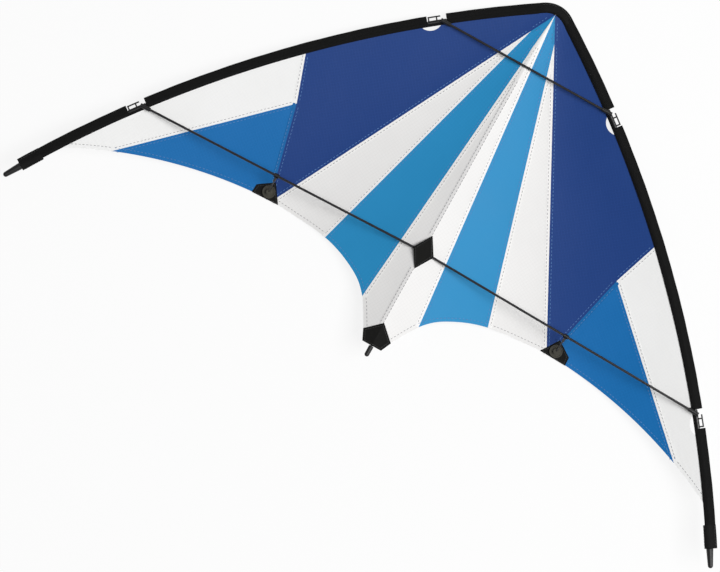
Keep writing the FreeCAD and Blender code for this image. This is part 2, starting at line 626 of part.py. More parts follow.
def right_wing():
    """Every piece that the kite has once on each side."""
    across = Vector(1, 0, 0)
    pieces = {
        "leading_edge_sleeve": leading_edge_sleeve(),
        "leading_edge_rod_upper": leading_edge_rod(ROD_START_S, LE_JOINT_S - ROD_JOINT_GAP),
        "leading_edge_rod_lower": leading_edge_rod(LE_JOINT_S + ROD_JOINT_GAP, ROD_END_S),
        "leading_edge_ferrule": leading_edge_ferrule(),
        "upper_connector": connector(UPPER_S, across),
        "lower_connector": connector(LOWER_S, LOWER_LINE),
        "tip_webbing": tip_webbing(),
        "tip_cap": tip_cap(),
        "lower_spreader": lower_spreader(),
        "standoff_patch": with_rivet_hole(patch_slab(STANDOFF_PATCH)),
        "standoff_boss": standoff_boss(),
        "standoff_washer": standoff_washer(),
        "standoff_rod": standoff_rod(),
        "standoff_clip": standoff_clip(),
    }
    for name, shape in sail_panels().items():
        pieces[name] = with_rivet_hole(shape)
    return pieces


def centre_pieces():
    """Pieces on the kite's middle line."""
    return {
        "spine_rod": spine_rod(),
        "spine_cap": spine_cap(),
        "spine_pocket": spine_pocket(),
        "tail_patch": tail_patch(),
        "nose_webbing": nose_webbing(),
        "centre_tee": centre_tee(),
        "centre_patch": centre_patch(),
        "upper_spreader": upper_spreader(),
    }


def floor_tilt(nose, washer):
    """Nose-down angle at which nose and stand-off fittings touch the floor together."""
    angle = 0.0
    for _ in range(TILT_STEPS):
        lows = []
        for shape in (nose, washer):
            lows.append(shape.rotated(ORIGIN, Vector(1, 0, 0), angle).optimalBoundingBox(False).ZMin)
        angle -= math.degrees((lows[0] - lows[1]) / (NOSE_RISE - STANDOFF_AT[1]))
    return angle


def main():
    os.makedirs("parts", exist_ok=True)
    pieces = centre_pieces()
    for name, shape in right_wing().items():
        pieces[name + "_right"] = shape
        pieces[name + "_left"] = mirrored(shape)
    tilt = floor_tilt(pieces["nose_webbing"], pieces["standoff_washer_right"])
    for name in pieces:
        pieces[name] = pieces[name].rotated(ORIGIN, Vector(1, 0, 0), tilt)
    box = Part.makeCompound(list(pieces.values())).optimalBoundingBox(False)
    shift = Vector(0, -(box.YMin + box.YMax) / 2, -box.ZMin)
    for name, shape in pieces.items():
        placed = shape.translated(shift)
        placed.exportStep("parts/" + name + ".step")
    turn = Rotation(Vector(1, 0, 0), tilt)
    print("floor tilt", tilt, "shift", shift)
    eye = sum(LOOP_ARM_AT) / len(LOOP_ARM_AT)
    marks = {"pivot": PIVOT, "grip": GRIP}
    marks["upper loop"] = le_point(UPPER_S + eye, LOOP_BAR_OFFSET)
    marks["lower loop"] = le_point(LOWER_S + eye, LOOP_BAR_OFFSET)
    for label, point in marks.items():
        print(label, turn.multVec(point) + shift)
    print("fold axis", turn.multVec(LOWER_LINE), "front", turn.multVec(UP))
    print("box", box.XLength, box.YLength, box.ZLength, "nodes", len(pieces))
    for name, shape in pieces.items():
        if len(shape.Solids) != 1 or not shape.isValid():
            print("CHECK", name, len(shape.Solids), shape.isValid())


main()
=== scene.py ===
import json
import math
import bpy
import bmesh
from mathutils import Matrix, Vector
from mathutils.kdtree import KDTree


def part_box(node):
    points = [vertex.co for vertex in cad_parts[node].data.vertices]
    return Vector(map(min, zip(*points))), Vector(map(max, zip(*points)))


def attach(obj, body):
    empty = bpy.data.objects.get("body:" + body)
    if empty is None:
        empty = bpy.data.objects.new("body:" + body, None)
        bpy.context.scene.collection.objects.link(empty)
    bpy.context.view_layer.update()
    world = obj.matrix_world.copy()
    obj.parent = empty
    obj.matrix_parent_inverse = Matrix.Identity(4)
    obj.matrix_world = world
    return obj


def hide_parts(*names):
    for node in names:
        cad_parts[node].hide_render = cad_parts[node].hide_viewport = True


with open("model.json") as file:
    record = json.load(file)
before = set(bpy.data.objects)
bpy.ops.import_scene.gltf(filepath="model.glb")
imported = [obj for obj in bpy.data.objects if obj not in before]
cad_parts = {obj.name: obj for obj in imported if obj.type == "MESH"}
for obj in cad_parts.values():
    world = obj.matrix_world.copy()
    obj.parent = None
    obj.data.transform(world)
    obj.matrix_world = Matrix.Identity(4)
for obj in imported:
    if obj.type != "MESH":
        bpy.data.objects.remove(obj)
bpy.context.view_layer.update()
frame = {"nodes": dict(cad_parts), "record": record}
for name in ("Cube", "Light", "Camera"):
    if name in bpy.data.objects:
        bpy.data.objects.remove(bpy.data.objects[name])
bpy.ops.object.select_all(action="DESELECT")

# the kite's own frame: x to the right wing, y up the spine to the nose, z out of the front of the sail
kite = {
    "halfSpan": 0.700,
    "noseRise": 0.482,          # from the cross to where the leading edges would meet
    "tipDrop": 0.237,
    "leadingBow": 0.0585,
    "noseRadius": 0.050,
    "sleeveWidth": 0.018,
    "sleeveOuter": 0.012,       # rod to the outer fold
    "tipCapLength": 0.034,
    "tipWebbingLength": 0.035,
    "upperSpreaderY": 0.366,
    "lowerSpreaderDrop": 0.015,
}

sail = {
    "belly": 0.038,             # depth of the sail at a stand-off
    "bellyAt": (0.286, -0.038),
    "bellyFade": 0.060,
    "ridgeRise": 0.0035,
    "ridgeWidth": 0.025,
    "halfCloth": 0.0003,
    "thickness": 0.00025,
    "hemWidth": 0.0088,
    "seams": [(0.0555, -0.114), (0.162, -0.060), (0.274, -0.0504)],
    "stripeTop": 0.425,         # where the white stripe runs out to a point
    "trailing": [(0.027, -0.165), (0.059, -0.114), (0.097, -0.084), (0.162, -0.060), (0.262, -0.050)],
    "patchEnd": (0.312, -0.052),
    "outerMiddle": (0.475, -0.081),
    "tipAt": 0.898,             # along the leading edge, where the trailing edge ends
    "junction": (0.3175, 0.119),
    "leadingSeam": (0.352, 0.224),
    "wingSeam": (0.5565, -0.108),
    "innerSeam": (0.2776, -0.0508),
    "tailY": -0.1835,
    "tailX": 0.017,
    "moonStart": 0.004,
    "moonLength": 0.033,
    "moonDepth": 0.007,
    "underSleeve": 0.001,       # how far the cloth runs in under the sleeve
    "edgeStep": 0.006,
    "moonStep": 0.0011,
}

front = Vector(frame["record"]["mounts"][0]["axis"]).normalized()
crossLow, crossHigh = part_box("centre_tee")
crossPoint = (crossLow + crossHigh) / 2
tilt = Matrix.Rotation(-math.atan2(front.y, front.z), 3, "X")


def placed(x, y, z):            # kite frame to row frame
    return tilt @ Vector((x, y, z)) + crossPoint


# leading edge arc
chord = Vector((kite["halfSpan"], -kite["tipDrop"] - kite["noseRise"]))
edgeRadius = chord.length ** 2 / (8 * kite["leadingBow"]) + kite["leadingBow"] / 2
edgeOut = Vector((-chord.y, chord.x)).normalized()
edgeCentre = Vector((0, kite["noseRise"])) + chord / 2 - edgeOut * (edgeRadius - kite["leadingBow"])
noseAngle = math.atan2(kite["noseRise"] - edgeCentre.y, -edgeCentre.x)
tipAngle = math.atan2(-kite["tipDrop"] - edgeCentre.y, kite["halfSpan"] - edgeCentre.x)
edgeLength = (noseAngle - tipAngle) * edgeRadius
sleeveInner = kite["sleeveWidth"] - kite["sleeveOuter"]


def outward(s):
    angle = noseAngle - s / edgeRadius
    return Vector((math.cos(angle), math.sin(angle)))


def edgePoint(s, out=0.0):
    return edgeCentre + outward(s) * (edgeRadius + out)


def edgeLengthAt(y):
    return (noseAngle - math.asin((y - edgeCentre.y) / edgeRadius)) * edgeRadius


noseAxisRadius = kite["noseRadius"] - kite["sleeveOuter"]
noseReach = edgeRadius + kite["sleeveOuter"] - kite["noseRadius"]
noseSlope = math.asin(-edgeCentre.x / noseReach)
noseCentre = Vector((0, edgeCentre.y + math.sqrt(noseReach ** 2 - edgeCentre.x ** 2)))
noseInner = kite["noseRadius"] - kite["sleeveWidth"]
sleeveStart = edgeLengthAt(noseCentre.y + noseAxisRadius * math.cos(noseSlope))
sleeveEnd = edgeLength - kite["tipCapLength"] - kite["tipWebbingLength"]
upperAt = edgeLengthAt(kite["upperSpreaderY"])
lowerAt = edgeLengthAt(-kite["lowerSpreaderDrop"])
nosePoint = noseCentre + Vector((0, noseInner))
apexY = edgeCentre.y + math.sqrt((edgeRadius - sleeveInner) ** 2 - edgeCentre.x ** 2)
edgeAngle = math.pi / 2 - math.asin(-edgeCentre.x / (edgeRadius - sleeveInner))


def bellyShape(x, y):
    down = apexY - y
    reach = math.hypot(x, down)
    if reach < 1e-7:
        return 0.0
    edge = edgeAngle - math.asin(min(reach / (2 * (edgeRadius - sleeveInner)), 1.0))
    return reach ** 2 / (reach + sail["bellyFade"]) * math.sin(math.pi * math.atan2(x, down) / edge)


bellyScale = sail["belly"] / bellyShape(*sail["bellyAt"])


def sailHeight(x, y):           # front face of the cloth
    ridge = sail["ridgeRise"] * math.exp(-abs(x) / sail["ridgeWidth"])
    return sail["halfCloth"] + ridge - bellyScale * bellyShape(abs(x), y)


# shader maths
class Wire:                     # a socket that adds, multiplies and compares like a number
    def __init__(self, paint, socket):
        self.paint = paint
        self.socket = socket

    def maths(self, operation, first, second=None):
        values = [first] if second is None else [first, second]
        return self.paint.node("ShaderNodeMath", {"operation": operation}, dict(enumerate(values)))

    def __add__(self, other):
        return self.maths("ADD", self, other)

    def __radd__(self, other):
        return self.maths("ADD", other, self)

    def __sub__(self, other):
        return self.maths("SUBTRACT", self, other)

    def __rsub__(self, other):
        return self.maths("SUBTRACT", other, self)

    def __mul__(self, other):
        return self.maths("MULTIPLY", self, other)

    def __rmul__(self, other):
        return self.maths("MULTIPLY", other, self)

    def __gt__(self, other):
        return self.maths("GREATER_THAN", self, other)

    def __lt__(self, other):
        return self.maths("LESS_THAN", self, other)

    def fract(self):
        return self.maths("FRACT", self)

    def sine(self):
        return self.maths("SINE", self)

    def size(self):
        return self.maths("ABSOLUTE", self)

    def clipped(self):
        return self.paint.node("ShaderNodeClamp", {}, {0: self})


class Paint:                    # one material with its Principled shader
    def __init__(self, name):
        self.material = bpy.data.materials.new(name)
        self.material.use_nodes = True
        self.tree = self.material.node_tree
        self.shader = self.tree.nodes["Principled BSDF"]

    def node(self, kind, settings, sockets, output=0):
        made = self.tree.nodes.new(kind)
        for name, value in settings.items():
            if name == "stops":
                self.fillRamp(made.color_ramp, value)
            else:
                setattr(made, name, value)
        for key, value in sockets.items():
            self.plug(made.inputs[key], value)
        return Wire(self, made.outputs[output])

    def fillRamp(self, ramp, stops):
        while len(ramp.elements) < len(stops):
            ramp.elements.new(0.5)
        for element, (place, colour) in zip(ramp.elements, stops):
            element.position = place
            element.color = colour

    def plug(self, socket, value):
        if isinstance(value, Wire):
            self.tree.links.new(value.socket, socket)
        else:
            socket.default_value = value

    def set(self, **sockets):
        for name, value in sockets.items():
            self.plug(self.shader.inputs[name.replace("_", " ")], value)

    def place(self, turn=0.0, scale=1.0):
        here = self.node("ShaderNodeTexCoord", {}, {}, "Object")
        return self.node("ShaderNodeMapping", {}, {"Vector": here, "Rotation": (0, 0, turn), "Scale": (scale,) * 3})

    def axes(self, vector):
        split = self.node("ShaderNodeSeparateXYZ", {}, {0: vector})
        outs = split.socket.node.outputs
        return [Wire(self, outs[i]) for i in range(3)]

    def noise(self, vector, scale, detail=3.0, roughness=0.5):
        return self.node("ShaderNodeTexNoise", {}, {"Vector": vector, "Scale": scale, "Detail": detail,
                                                    "Roughness": roughness})

    def mix(self, factor, first, second):
        made = self.tree.nodes.new("ShaderNodeMix")
        made.data_type = "RGBA"
        self.plug(made.inputs[0], factor)
        self.plug(made.inputs[6], first)
        self.plug(made.inputs[7], second)
        return Wire(self, made.outputs[2])

    def bump(self, height, distance, strength=1.0):
        return self.node("ShaderNodeBump", {}, {"Height": height, "Distance": distance, "Strength": strength})


def colour(red, green, blue):   # screen colour, 0 to 255, to linear light
    def linear(v):
        v = v / 255
        return v / 12.92 if v <= 0.04045 else ((v + 0.055) / 1.055) ** 2.4
    return (linear(red), linear(green), linear(blue), 1.0)


def times(tone, factor):
    return tuple(min(c * factor, 1.0) for c in tone[:3]) + (1.0,)


def stripes(wave, width):       # 1 on thin lines, once in each whole number of wave
    return (wave.fract() - 0.5).size() < width / 2


clothLook = {
    "gridPitch": 0.0052,        # ripstop squares
    "gridLine": 0.14,
    "weavePitch": 0.0009,
    "cloudScale": 9.0,
    "crinkleScale": 26.0,
    "crinkleHeight": 0.9,
    "roughness": 0.50,
    "sheen": 0.16,
    "bumpDepth": 0.0011,
    "bumpStrength": 0.55,
}


def ripstop(name, tone, turn, gridTone):
    paint = Paint(name)
    here = paint.place(turn)
    x, y, z = paint.axes(here)
    grid = stripes(x * (1 / clothLook["gridPitch"]), clothLook["gridLine"])
    grid = (grid + stripes(y * (1 / clothLook["gridPitch"]), clothLook["gridLine"])).clipped()
    weave = (x * (2 * math.pi / clothLook["weavePitch"])).sine() * (y * (2 * math.pi / clothLook["weavePitch"])).sine()
    cloud = paint.noise(here, clothLook["cloudScale"], 4.0, 0.55)
    crinkle = paint.noise(here, clothLook["crinkleScale"], 5.0, 0.6)
    tint = paint.mix((cloud * 1.6 - 0.3).clipped(), times(tone, 0.965), times(tone, 1.03))
    paint.set(Base_Color=paint.mix(grid * 0.55, tint, times(tone, gridTone)))
    paint.set(Roughness=(cloud * 0.16 + (clothLook["roughness"] - 0.08)) - grid * 0.05)
    height = grid * 0.05 + weave * 0.02 + crinkle * clothLook["crinkleHeight"]
    paint.set(Normal=paint.bump(height, clothLook["bumpDepth"], clothLook["bumpStrength"]))
    paint.set(Specular_IOR_Level=clothLook["sheen"])
    return paint.material


def webbingCloth(name, tone, ribPitch, turn):
    paint = Paint(name)
    here = paint.place(turn)
    x, y, z = paint.axes(here)
    ribs = (x * (2 * math.pi / ribPitch)).sine()
    picks = (y * (2 * math.pi / (ribPitch * 0.6)) + ribs * 1.2).sine()
    fuzz = paint.noise(here, 900.0, 2.0, 0.6)
    worn = paint.noise(here, 30.0, 4.0, 0.6)
    shade = (picks * 0.25 + ribs * 0.25 + fuzz * 0.6).clipped()
    paint.set(Base_Color=paint.mix(shade, times(tone, 0.62), times(tone, 1.55)))
    paint.set(Roughness=worn * 0.2 + 0.62)
    paint.set(Normal=paint.bump(ribs * 0.5 + picks * 0.4 + worn * 1.2, 0.00035, 0.7))
    paint.set(Specular_IOR_Level=0.18)
    return paint.material


def threadLook(name, tone):
    paint = Paint(name)
    here = paint.place()
    x, y, z = paint.axes(here)
    twist = ((x + y) * (2 * math.pi / 0.0007)).sine()
    paint.set(Base_Color=paint.mix(twist * 0.5 + 0.5, times(tone, 0.8), times(tone, 1.1)))
    paint.set(Roughness=twist * 0.05 + 0.55, Normal=paint.bump(twist, 0.0001, 0.4))
    return paint.material


def rodLook(name, tone):
    paint = Paint(name)
    here = paint.place()
    grain = paint.noise(here, 260.0, 3.0, 0.6)
    cloud = paint.noise(here, 22.0, 3.0, 0.5)
    paint.set(Base_Color=paint.mix(grain, times(tone, 0.7), times(tone, 1.7)))
    paint.set(Roughness=cloud * 0.14 + 0.24, Normal=paint.bump(grain, 0.00008, 0.5))
    paint.set(Specular_IOR_Level=0.5, Coat_Roughness=0.2)
    return paint.material


def mouldedLook(name, tone, rough, grainSize):
    paint = Paint(name)
    here = paint.place()
    grain = paint.noise(here, grainSize, 4.0, 0.65)
    flow = paint.noise(here, 60.0, 3.0, 0.5)
    paint.set(Base_Color=paint.mix(flow, times(tone, 0.75), times(tone, 1.5)))
    paint.set(Roughness=grain * 0.16 + (rough - 0.08), Normal=paint.bump(grain * 0.6 + flow, 0.0002, 0.5))
    return paint.material


def metalLook(name):
    paint = Paint(name)
    here = paint.place()
    brushed = paint.noise(here, 420.0, 2.0, 0.6)
    paint.set(Base_Color=paint.mix(brushed, colour(150, 150, 152), colour(205, 205, 208)))
    paint.set(Metallic=1.0, Roughness=brushed * 0.15 + 0.25, Normal=paint.bump(brushed, 0.00005, 0.4))
    return paint.material


looks = {
    "sleeve": webbingCloth("black_sleeve_cloth", colour(17, 17, 17), 0.0011, 0.4),
    "webbing": webbingCloth("black_webbing", colour(19, 19, 19), 0.0022, 0.4),
    "patch": webbingCloth("black_patch_cloth", colour(24, 24, 23), 0.0014, 0.8),
    "greyThread": threadLook("grey_thread", colour(158, 158, 160)),
    "blueThread": threadLook("blue_thread", colour(98, 142, 200)),
    "blackThread": threadLook("black_thread", colour(46, 46, 46)),
    "rod": rodLook("black_fibreglass", colour(32, 31, 33)),
    "moulding": mouldedLook("black_moulded_plastic", colour(24, 24, 25), 0.36, 700.0),
    "vinyl": mouldedLook("black_vinyl", colour(26, 26, 27), 0.48, 500.0),
    "fitting": mouldedLook("dark_fitting_plastic", colour(60, 58, 50), 0.34, 600.0),
    "metal": metalLook("ferrule_metal"),
}
sailCloths = {                  # material, tone, turn of the weave, its lines, and the same for doubled cloth
    "white": ("white", colour(245, 244, 243), 0.5, 0.93, 1.06, 0.96),
    # painted light: the tip panels are the same white cloth as the rest, given a brighter tone so the tips show as
    # bright as the centre under the key
    "tip": ("tip_white", colour(254, 254, 253), 0.5, 0.95, 1.00, 0.97),
    "light": ("light_blue", colour(43, 144, 200), 0.3, 1.10, 0.90, 1.06),
    "medium": ("medium_blue", colour(24, 112, 181), 0.7, 1.10, 0.88, 1.06),
    "dark": ("dark_blue", colour(33, 66, 132), 0.9, 1.14, 0.80, 1.08),
}
for key, (name, tone, turn, lines, doubleTone, doubleLines) in sailCloths.items():
    looks[key] = ripstop(name + "_ripstop", tone, turn, lines)
    looks[key + "Double"] = ripstop(name + "_ripstop_doubled", times(tone, doubleTone), turn, doubleLines)
print("materials made")


# mesh helpers
def newGrid(name, columns, rows):       # a plane of columns by rows faces, corners in x then y order
    bpy.ops.object.select_all(action="DESELECT")
    bpy.ops.mesh.primitive_grid_add(x_subdivisions=columns, y_subdivisions=rows, size=2)
    piece = bpy.context.object
    piece.name = name
    piece.data.name = name
    return piece


def shapeGrid(piece, columns, rows, where):     # moves each grid corner (i, j) to where(i, j)
    for vertex in piece.data.vertices:
        i = round((vertex.co.x + 1) / 2 * columns)
        j = round((vertex.co.y + 1) / 2 * rows)
        vertex.co = where(i, j)
    piece.data.update()


def applyModifier(piece, kind, **settings):
    bpy.context.view_layer.objects.active = piece
    modifier = piece.modifiers.new("shape", kind)
    for name, value in settings.items():
        setattr(modifier, name, value)
    bpy.ops.object.modifier_apply(modifier=modifier.name)


def tidyMesh(piece):
    made = bmesh.new()
    made.from_mesh(piece.data)
    bmesh.ops.remove_doubles(made, verts=made.verts, dist=1e-6)
    bmesh.ops.dissolve_degenerate(made, edges=made.edges, dist=1e-7)
    made.to_mesh(piece.data)
    made.free()


def faceUp(piece):              # turns a sheet's faces to the front of the kite
    total = Vector()
    for polygon in piece.data.polygons:
        total += polygon.normal * polygon.area
    if total.dot(front) < 0:
        piece.data.flip_normals()


def finishPiece(piece, look, nodes=(), body="kite", smooth=40):
    piece.data.materials.clear()
    piece.data.materials.append(looks[look])
    bpy.ops.object.select_all(action="DESELECT")
    piece.select_set(True)
    bpy.context.view_layer.objects.active = piece
    bpy.ops.object.shade_smooth_by_angle(angle=math.radians(smooth))
    piece.select_set(False)
    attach(piece, body)
    if nodes:
        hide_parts(*nodes)


def mixed(a, b, t):
    return a + (b - a) * t


def pathLength(points):
    return sum((b - a).length for a, b in zip(points, points[1:]))


def resampled(points, count):   # count + 1 points, evenly spaced along a plan line
    total = pathLength(points)
    result = [points[0].copy()]
    wanted = total / count
    walked = 0.0
    for a, b in zip(points, points[1:]):
        step = (b - a).length
        while len(result) < count and walked + step >= wanted * len(result) - 1e-12:
            result.append(mixed(a, b, (wanted * len(result) - walked) / max(step, 1e-12)))
        walked += step
    result.append(points[-1].copy())
    return result[:count] + [points[-1].copy()]


def curveThrough(points, steps):        # smooth plan curve through a few points
    ends = [points[0] * 2 - points[1]] + points + [points[-1] * 2 - points[-2]]
    result = []
    for k in range(len(points) - 1):
        p0, p1, p2, p3 = ends[k:k + 4]
        for j in range(steps):
            t = j / steps
            result.append(((p1 * 2) + (p2 - p0) * t + (p0 * 2 - p1 * 5 + p2 * 4 - p3) * t * t
                           + (p1 * 3 - p0 - p2 * 3 + p3) * t * t * t) / 2)
    result.append(points[-1].copy())
    return result


def arcThrough(a, b, c, steps):
    d = 2 * (a.x * (b.y - c.y) + b.x * (c.y - a.y) + c.x * (a.y - b.y))
    ux = (a.length_squared * (b.y - c.y) + b.length_squared * (c.y - a.y) + c.length_squared * (a.y - b.y)) / d
    uy = (a.length_squared * (c.x - b.x) + b.length_squared * (a.x - c.x) + c.length_squared * (b.x - a.x)) / d
    centre = Vector((ux, uy))
    start = math.atan2(a.y - uy, a.x - ux)
    end = math.atan2(c.y - uy, c.x - ux)
    radius = (a - centre).length
    return [centre + Vector((math.cos(mixed(start, end, k / steps)), math.sin(mixed(start, end, k / steps)))) * radius
            for k in range(steps + 1)]


# outline of the right wing
def plan(point):
    return Vector((point[0], point[1]))


def trailingLine():
    tail = [Vector((0, sail["tailY"])), Vector((sail["tailX"], sail["tailY"]))]
    first = curveThrough([plan(p) for p in sail["trailing"]], 14)
    end = edgePoint(sail["tipAt"], -sleeveInner)
    second = arcThrough(plan(sail["patchEnd"]), plan(sail["outerMiddle"]), end, 60)
    return tail + first + second


trailing = trailingLine()


def cutAt(line, a, b):          # index and point where segment a-b extended meets the line
    direction = (b - a).normalized()
    side = Vector((-direction.y, direction.x))
    for k in range(len(line) - 1):
        u = (line[k] - a).dot(side)
        v = (line[k + 1] - a).dot(side)
        if u == 0 or u * v < 0:
            point = mixed(line[k], line[k + 1], u / (u - v))
            if (point - a).dot(direction) > 0:
                return k, point
    return len(line) - 2, line[-1]


def trailingBetween(a, b):      # part of the trailing edge between two (index, point) cuts
    return [a[1]] + trailing[a[0] + 1:b[0] + 1] + [b[1]]


def moonDip(s):                 # how far the window beside a connector reaches into the sail
    half = sail["moonLength"] / 2
    radius = (half ** 2 + sail["moonDepth"] ** 2) / (2 * sail["moonDepth"])
    dip = 0.0
    for at in (upperAt, lowerAt):
        away = abs(s - at - sail["moonStart"] - half)
        if away < half:
            dip = math.sqrt(radius ** 2 - away ** 2) - (radius - sail["moonDepth"])
    return dip


def leadingLine(start, end):    # sail's edge along the sleeve, with the connector windows
    stops = []
    s = start
    while s < end - 0.0005:
        stops.append(s)
        near = any(at + sail["moonStart"] - sail["edgeStep"] < s < at + sail["moonStart"] + sail["moonLength"] + 0.004
                   for at in (upperAt, lowerAt))
        s += sail["moonStep"] if near else sail["edgeStep"]
    stops.append(end)
    return [edgePoint(s, -moonDip(s) - sleeveInner if moonDip(s) > 0 else sail["underSleeve"] - sleeveInner)
            for s in stops]


def seamAtLeading():
    a = plan(sail["junction"])
    direction = (plan(sail["leadingSeam"]) - a).normalized()
    low, high = sleeveStart, sleeveEnd
    side = Vector((-direction.y, direction.x))
    for _ in range(50):
        middle = (low + high) / 2
        if (edgePoint(middle, -sleeveInner) - a).dot(side) > 0:
            low = middle
        else:
            high = middle
    return (low + high) / 2


leadingSeamAt = seamAtLeading()


# sail panels
seamPoints = [plan(p) for p in sail["seams"]]
stripeTop = mixed(nosePoint, seamPoints[2], (nosePoint.y - sail["stripeTop"]) / (nosePoint.y - seamPoints[2].y))
seamCuts = [cutAt(trailing, start, p) for start, p in zip((nosePoint, stripeTop, nosePoint), seamPoints)]
junction = plan(sail["junction"])
wingCut = cutAt(trailing, junction, plan(sail["wingSeam"]))
innerCut = cutAt(trailing, junction, plan(sail["innerSeam"]))
trailingStart = (0, trailing[0])
trailingEnd = (len(trailing) - 2, trailing[-1])
seamTop = edgePoint(leadingSeamAt, sail["underSleeve"] - sleeveInner)
seamLines = [(nosePoint, seamCuts[0][1]), (stripeTop, seamCuts[1][1]), (stripeTop, seamCuts[2][1]),
             (nosePoint, stripeTop), (junction, seamTop), (junction, wingCut[1]), (junction, innerCut[1])]

hemTree = KDTree(len(trailing))
for index, point in enumerate(trailing):
    hemTree.insert((point.x, point.y, 0), index)
hemTree.balance()


def gapTo(a, b, point):
    edge = b - a
    t = min(max((point - a).dot(edge) / edge.length_squared, 0.0), 1.0)
    return (point - a - edge * t).length


def hemGap(point):
    index = hemTree.find((point.x, point.y, 0))[1]
    pairs = [k for k in (index - 1, index) if 0 <= k < len(trailing) - 1]
    return min(gapTo(trailing[k], trailing[k + 1], point) for k in pairs)


pucker = {
    "seamHeight": 0.00008,
    "seamReach": 0.012,
    "hemHeight": 0.00016,
    "hemReach": 0.016,
    "slack": 0.0004,
    "slackFrom": 0.05,          # full slack this far from the spine
}


def puckered(x, y):             # small ripples by the seams and the trailing edge, and slack between them
    point = Vector((x, y))
    seam = min(gapTo(a, b, point) for a, b in seamLines)
    hem = hemGap(point)
    ripple = math.sin(x * 410 + math.sin(y * 130) * 1.4) * math.sin(y * 370 + x * 90)
    near = math.exp(-seam / pucker["seamReach"]) * pucker["seamHeight"]
    near += math.exp(-hem / pucker["hemReach"]) * pucker["hemHeight"]
    wave = math.sin(x * 31 + y * 17) * math.sin(y * 23 - x * 11)
    return ripple * near + wave * pucker["slack"] * min(abs(x) / pucker["slackFrom"], 1)


def clothFace(x, y, lift=0.0):  # a point on the front of the right wing, in the kite's frame
    return Vector((x, y, sailHeight(x, y) + puckered(x, y) + lift))


def noseArc(count):             # rounded inner edge of the nose webbing, from the spine outwards
    turns = [noseSlope * k / count for k in range(count)]
    return [noseCentre + Vector((math.sin(t), math.cos(t))) * (noseInner + sail["underSleeve"]) for t in turns]


def fanLines(apex, edge, rows, columns):        # straight lines from one point to an edge
    far = resampled(edge, columns)
    return [[mixed(apex, point, j / rows) for point in far] for j in range(rows + 1)]


def coonsLines(low, high, start, end, rows, columns):
    low = resampled(low, columns)
    high = resampled(high, columns)
    left = resampled(start, rows)
    right = resampled(end, rows)
    lines = []
    for j in range(rows + 1):
        v = j / rows
        line = []
        for i in range(columns + 1):
            u = i / columns
            corner = mixed(mixed(low[0], low[-1], u), mixed(high[0], high[-1], u), v)
            line.append(mixed(low[i], high[i], v) + mixed(left[j], right[j], u) - corner)
        lines.append(line)
    return lines


panelLines = {
    "centre_panel": fanLines(nosePoint, trailingBetween(trailingStart, seamCuts[0]), 90, 24),
    "light_stripe": coonsLines([nosePoint, seamCuts[0][1]], [nosePoint, stripeTop, seamCuts[1][1]],
                               [nosePoint, nosePoint], trailingBetween(seamCuts[0], seamCuts[1]), 26, 90),
    "white_stripe": fanLines(stripeTop, trailingBetween(seamCuts[1], seamCuts[2]), 90, 24),
    "wing_panel": coonsLines(
        [nosePoint, seamCuts[2][1]], noseArc(6) + leadingLine(sleeveStart, leadingSeamAt),
        [nosePoint, nosePoint],
        trailingBetween(seamCuts[2], innerCut) + [junction, seamTop], 56, 220),
    "edge_panel": fanLines(junction, trailingBetween(innerCut, wingCut), 50, 60),
    "tip_panel": coonsLines(
        [junction, wingCut[1]], leadingLine(leadingSeamAt, sail["tipAt"]), [junction, seamTop],
        trailingBetween(wingCut, trailingEnd), 40, 240),
}
panelLooks = {
    "centre_panel": ("white", "white_sailcloth"),
    "light_stripe": ("light", "light_blue_sailcloth"),
    "white_stripe": ("white", "white_sailcloth"),
    "wing_panel": ("dark", "dark_blue_sailcloth"),
    "edge_panel": ("medium", "medium_blue_sailcloth"),
    "tip_panel": ("tip", "white_sailcloth"),
}
sides = [("_right", 1), ("_left", -1)]


def flatSize(points, along):    # width and length of the box round plan points, turned along one direction
    along = along.normalized()
    across = Vector((-along.y, along.x))
    lengths = [p.dot(along) for p in points]
    widths = [p.dot(across) for p in points]
    return (max(widths) - min(widths), max(lengths) - min(lengths))


def makeSheet(name, grid, side, look, nodes, thickness):
    rows = len(grid) - 1
    columns = len(grid[0]) - 1
    piece = newGrid(name, columns, rows)
    shapeGrid(piece, columns, rows, lambda i, j: placed(grid[j][i].x * side, grid[j][i].y, grid[j][i].z))
    tidyMesh(piece)
    faceUp(piece)
    area = sum(polygon.area for polygon in piece.data.polygons)
    applyModifier(piece, "SOLIDIFY", thickness=thickness, offset=-1.0)
    finishPiece(piece, look, nodes)
    return piece, area


sheets = {}                     # name: [piece, flat size, area, how it is held, what it rests on, pieces on it]
for part, lines in panelLines.items():
    grid = [[clothFace(p.x, p.y) for p in line] for line in lines]
    corners = [p for line in lines for p in line]
    direction = lines[-1][len(lines[-1]) // 2] - lines[0][0]
    if part in ("wing_panel", "tip_panel"):
        direction = lines[0][-1] - lines[0][0]
    for suffix, side in sides:
        look, slotName = panelLooks[part]
        piece, area = makeSheet(part + suffix + "_cloth", grid, side, look, [part + suffix],
                                sail["thickness"])
        sheets[part + suffix] = [piece, flatSize(corners, direction), area, "stretched",
                                 ["leading_edge_rod_upper" + suffix], []]
print("sail panels made")


# seam bands, hems and stitches
seamLook = {
    "bandWidth": 0.0066,
    "bandLift": 0.00025,
    "bandThickness": 0.0002,
    "rowOffset": 0.0043,
    "taper": 0.09,              # band width near a point where seams meet, as a share of the distance to it
    "pitch": 0.0065,
    "dashLength": 0.0037,
    "dashWidth": 0.0009,
    "dashHeight": 0.0005,
    "dashRound": 0.0002,
    "hemRow": 0.0062,
    "hemGap": 0.0001,
    "clear": 0.00005,           # stitches stand this far out of the cloth
}
